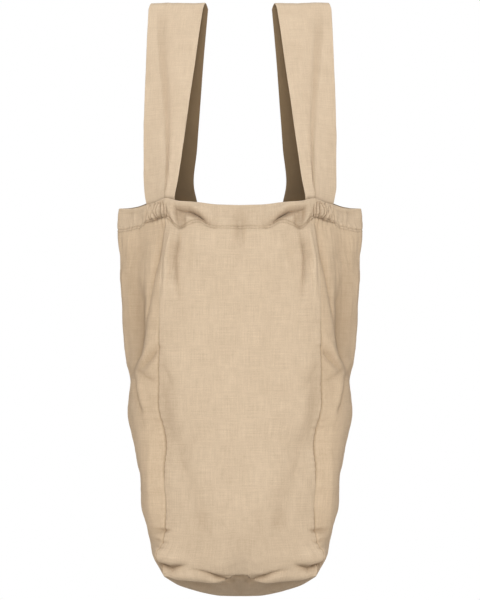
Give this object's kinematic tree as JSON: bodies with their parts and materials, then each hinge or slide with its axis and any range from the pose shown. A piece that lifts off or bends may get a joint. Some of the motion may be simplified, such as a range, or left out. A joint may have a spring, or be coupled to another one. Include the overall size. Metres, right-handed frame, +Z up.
{
  "type": "shopping bag",
  "caption": "Soft linen shopping bag with side gussets, a turned hem and two wide shoulder straps, hanging open and filled out.",
  "frame": {"origin": "where the two straps rest on the bar or hook that holds the bag, midway between the straps", "axes": "+Z up along the hanging bag, -Y towards the front face, +X to the right when seen from the front"},
  "size_m": [0.307, 0.223, 0.7414],
  "materials": {
    "face_linen": "plain weave linen, matt",
    "side_linen": "plain weave linen, matt",
    "strap_linen": "plain weave linen, matt"
  },
  "bodies": {
    "root": {"front_panel": "face_linen", "back_panel": "face_linen", "left_gusset": "side_linen", "right_gusset": "side_linen", "base_panel": "face_linen", "mouth_hem": "face_linen", "left_strap": "strap_linen", "right_strap": "strap_linen"}
  },
  "joints": []
}
